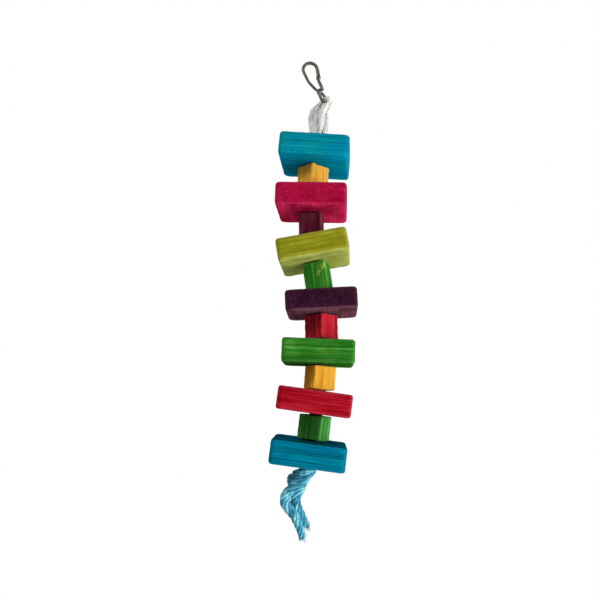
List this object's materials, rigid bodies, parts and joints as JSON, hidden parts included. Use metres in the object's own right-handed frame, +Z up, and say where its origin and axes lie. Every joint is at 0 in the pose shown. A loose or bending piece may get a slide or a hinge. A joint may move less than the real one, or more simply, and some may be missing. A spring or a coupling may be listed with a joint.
{
  "type": "hanging bird toy",
  "caption": "Hanging toy for a cage bird: dyed wooden blocks and spacers threaded on a doubled cotton rope, with a sprung snap hook above and a knot with two dyed tails below.",
  "frame": {"origin": "the point inside the snap hook's loop, at the middle of its crown, where the hook bears on what it hangs from", "axes": "+Z up, along the hanging string; +X to the right and +Y to the back, as seen from the front of the hook's flat side"},
  "size_m": [0.0647, 0.0581, 0.3513],
  "materials": {
    "hook_nickel": "nickel plated",
    "pin_steel": "plain steel",
    "gate_nickel": "nickel plated",
    "rope_white": "loosely laid cotton",
    "rope_blue": "loosely laid cotton",
    "dyed_turquoise": "dyed, matt, open grain",
    "dyed_yellow": "dyed, matt, open grain",
    "dyed_crimson": "dyed, matt, open grain",
    "dyed_plum": "dyed, matt, open grain",
    "dyed_lime": "dyed, matt, open grain",
    "dyed_green": "dyed, matt, open grain",
    "dyed_purple": "dyed, matt, open grain",
    "dyed_red": "dyed, matt, open grain",
    "dyed_blue": "dyed, matt, open grain"
  },
  "bodies": {
    "hook": {"hook_body": "hook_nickel", "gate_pin": "pin_steel", "gate_spring": "pin_steel"},
    "gate": {"hook_gate": "gate_nickel"},
    "rope": {"rope": "rope_white", "rope_knot": "rope_blue", "rope_tail_left": "rope_blue", "rope_tail_right": "rope_blue"},
    "block_turquoise": {"block_turquoise": "dyed_turquoise"},
    "spacer_yellow_upper": {"spacer_yellow_upper": "dyed_yellow"},
    "block_crimson": {"block_crimson": "dyed_crimson"},
    "spacer_plum": {"spacer_plum": "dyed_plum"},
    "block_lime": {"block_lime": "dyed_lime"},
    "spacer_green_upper": {"spacer_green_upper": "dyed_green"},
    "block_purple": {"block_purple": "dyed_purple"},
    "spacer_red": {"spacer_red": "dyed_red"},
    "block_green": {"block_green": "dyed_green"},
    "spacer_yellow_lower": {"spacer_yellow_lower": "dyed_yellow"},
    "block_red": {"block_red": "dyed_red"},
    "spacer_green_lower": {"spacer_green_lower": "dyed_green"},
    "block_blue": {"block_blue": "dyed_blue"}
  },
  "joints": [
    {"name": "gate_swing", "type": "hinge", "parent": "hook", "child": "gate", "pos_m": [0.01201, 0, -0.01893], "axis": [0, -1, 0], "range_deg": [0, 25], "stiffness_Nm_per_rad": 0.01, "springref_deg": -20.05, "deforming": ["gate_spring"]},
    {"name": "rope_swing", "type": "hinge", "parent": "hook", "child": "rope", "pos_m": [0.01508, -0.00112, -0.03169], "axis": [0.5421, 0.8403, 0], "range_deg": [-60, 60]},
    {"name": "block_turquoise_turn", "type": "hinge", "parent": "rope", "child": "block_turquoise", "pos_m": [0.00908, 0.00131, -0.07259], "axis": [0.0393, 0.0105, 0.9992], "continuous": true},
    {"name": "spacer_yellow_upper_turn", "type": "hinge", "parent": "rope", "child": "spacer_yellow_upper", "pos_m": [0.0087, 0.00118, -0.09081], "axis": [0.0052, 0.0052, 1], "continuous": true},
    {"name": "block_crimson_turn", "type": "hinge", "parent": "rope", "child": "block_crimson", "pos_m": [0.00884, 0.00112, -0.10911], "axis": [-0.0227, 0, 0.9997], "continuous": true},
    {"name": "spacer_plum_turn", "type": "hinge", "parent": "rope", "child": "spacer_plum", "pos_m": [0.00967, 0.00092, -0.12753], "axis": [-0.0645, 0.0209, 0.9977], "continuous": true},
    {"name": "block_lime_turn", "type": "hinge", "parent": "rope", "child": "block_lime", "pos_m": [0.01234, 0.00008, -0.14686], "axis": [-0.2176, 0.068, 0.9737], "continuous": true},
    {"name": "spacer_green_upper_turn", "type": "hinge", "parent": "rope", "child": "spacer_green_upper", "pos_m": [0.01625, -0.00107, -0.16586], "axis": [-0.1888, 0.0523, 0.9806], "continuous": true},
    {"name": "block_purple_turn", "type": "hinge", "parent": "rope", "child": "block_purple", "pos_m": [0.0192, -0.00203, -0.18496], "axis": [-0.101, 0.0454, 0.9939], "continuous": true},
    {"name": "spacer_red_turn", "type": "hinge", "parent": "rope", "child": "spacer_red", "pos_m": [0.02068, -0.00262, -0.20193], "axis": [-0.075, 0.0262, 0.9968], "continuous": true},
    {"name": "block_green_turn", "type": "hinge", "parent": "rope", "child": "block_green", "pos_m": [0.02155, -0.00293, -0.22019], "axis": [-0.0183, 0.007, 0.9998], "continuous": true},
    {"name": "spacer_yellow_lower_turn", "type": "hinge", "parent": "rope", "child": "spacer_yellow_lower", "pos_m": [0.02151, -0.00302, -0.2377], "axis": [0.0227, 0.0035, 0.9997], "continuous": true},
    {"name": "block_red_turn", "type": "hinge", "parent": "rope", "child": "block_red", "pos_m": [0.02063, -0.00307, -0.255], "axis": [0.0811, 0.0017, 0.9967], "continuous": true},
    {"name": "spacer_green_lower_turn", "type": "hinge", "parent": "rope", "child": "spacer_green_lower", "pos_m": [0.01941, -0.00295, -0.2721], "axis": [0.061, -0.0157, 0.998], "continuous": true},
    {"name": "block_blue_turn", "type": "hinge", "parent": "rope", "child": "block_blue", "pos_m": [0.01826, -0.00241, -0.28964], "axis": [0.0706, -0.0454, 0.9965], "continuous": true}
  ]
}
